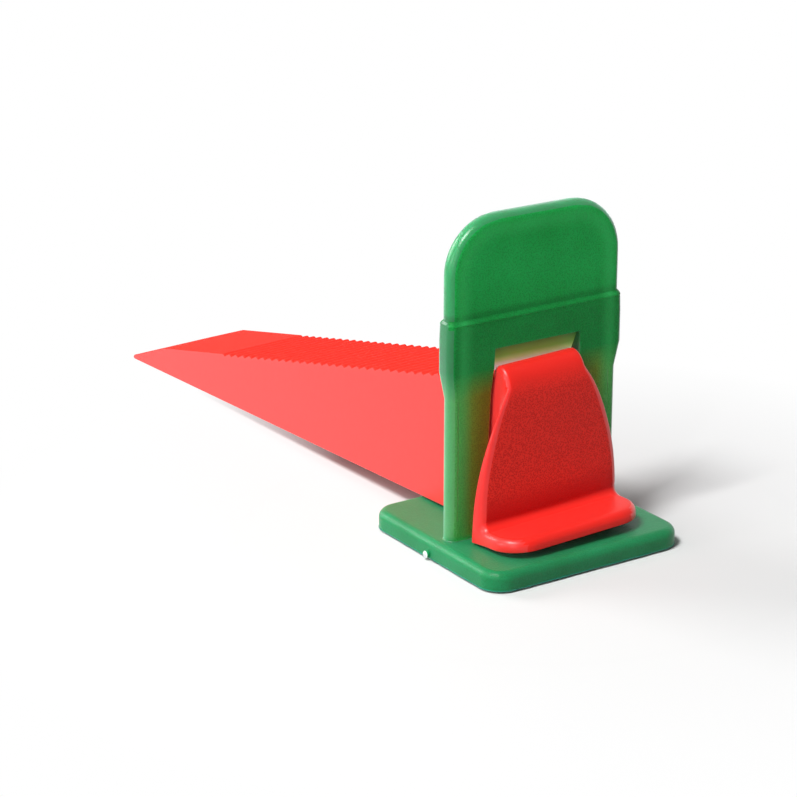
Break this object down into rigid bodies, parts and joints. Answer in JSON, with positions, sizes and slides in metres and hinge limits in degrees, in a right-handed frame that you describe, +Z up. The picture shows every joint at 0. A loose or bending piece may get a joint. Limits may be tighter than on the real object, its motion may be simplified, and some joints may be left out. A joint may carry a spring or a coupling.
{
  "type": "tile levelling clip",
  "caption": "Moulded tile levelling clip: flat base plate, upright web with a tapered window and collar, and a ridged thumb-headed wedge that slides through the window to press tiles level.",
  "frame": {"origin": "underside of the base plate, below the middle of the web", "axes": "+X across the web, +Y along the wedge towards its tip, +Z up from the floor"},
  "size_m": [0.0291, 0.101, 0.0424],
  "materials": {
    "clip": "moulded, satin gloss, slightly translucent",
    "wedge": "moulded, fine spark-eroded grain"
  },
  "bodies": {
    "clip": {"clip": "clip"},
    "wedge": {"wedge": "wedge"}
  },
  "joints": [
    {"name": "wedge_slide", "type": "slide", "parent": "clip", "child": "wedge", "axis": [0.0162, -0.9993, 0.0341], "range_m": [0, 0.08]}
  ]
}
